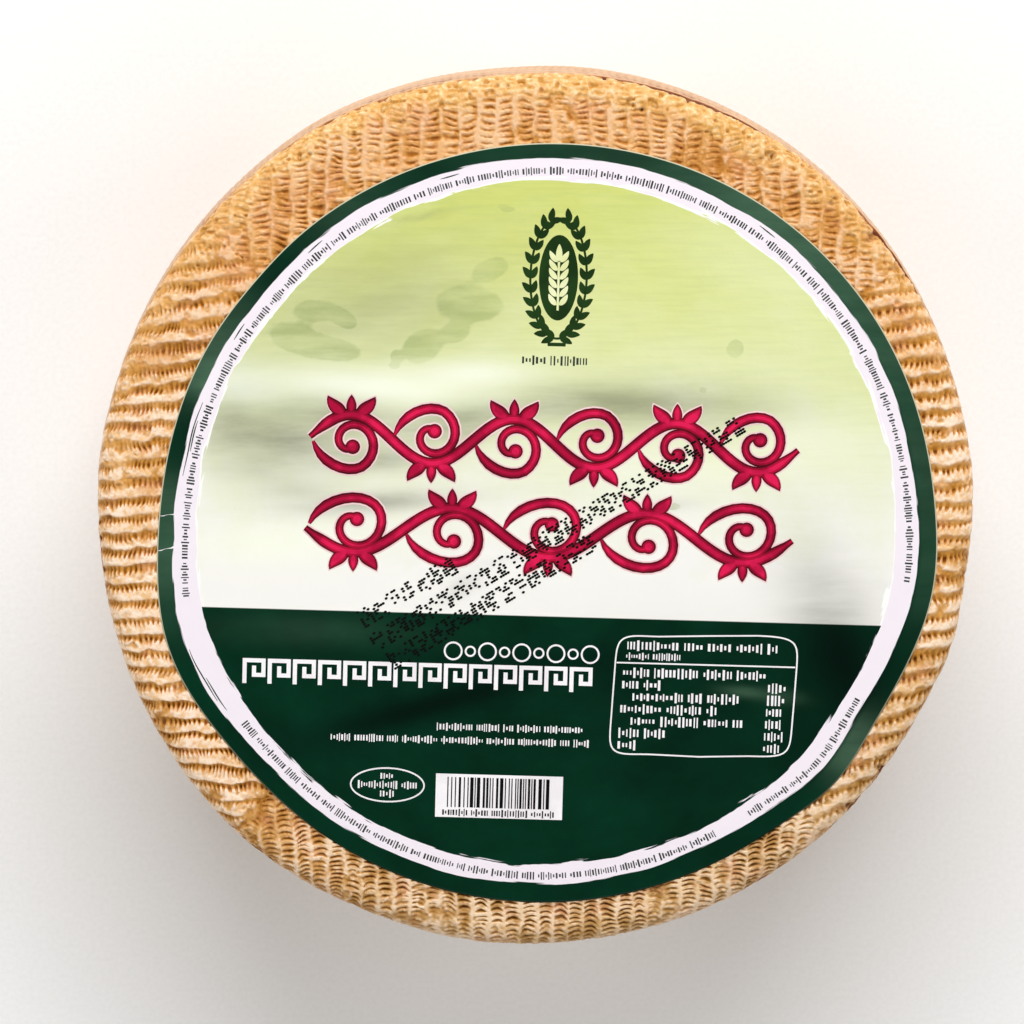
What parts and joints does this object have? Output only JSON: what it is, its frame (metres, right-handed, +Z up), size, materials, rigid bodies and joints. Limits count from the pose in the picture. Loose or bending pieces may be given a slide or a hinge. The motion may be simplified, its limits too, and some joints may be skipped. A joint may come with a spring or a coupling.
{
  "type": "whole cheese wheel",
  "caption": "Whole semi-cured cheese wheel with a gauze-printed rind and a round film label on its top face.",
  "frame": {"origin": "centre of the base, on the surface that the wheel rests on", "axes": "+Z up through the wheel, +Y towards the top of the label, +X to the label's right"},
  "size_m": [0.1996, 0.1998, 0.088],
  "materials": {
    "rind": "waxy satin coating over a gauze-printed rind",
    "label_film": "soft gloss printed film"
  },
  "bodies": {
    "root": {"cheese": "rind", "label": "label_film"}
  },
  "joints": []
}
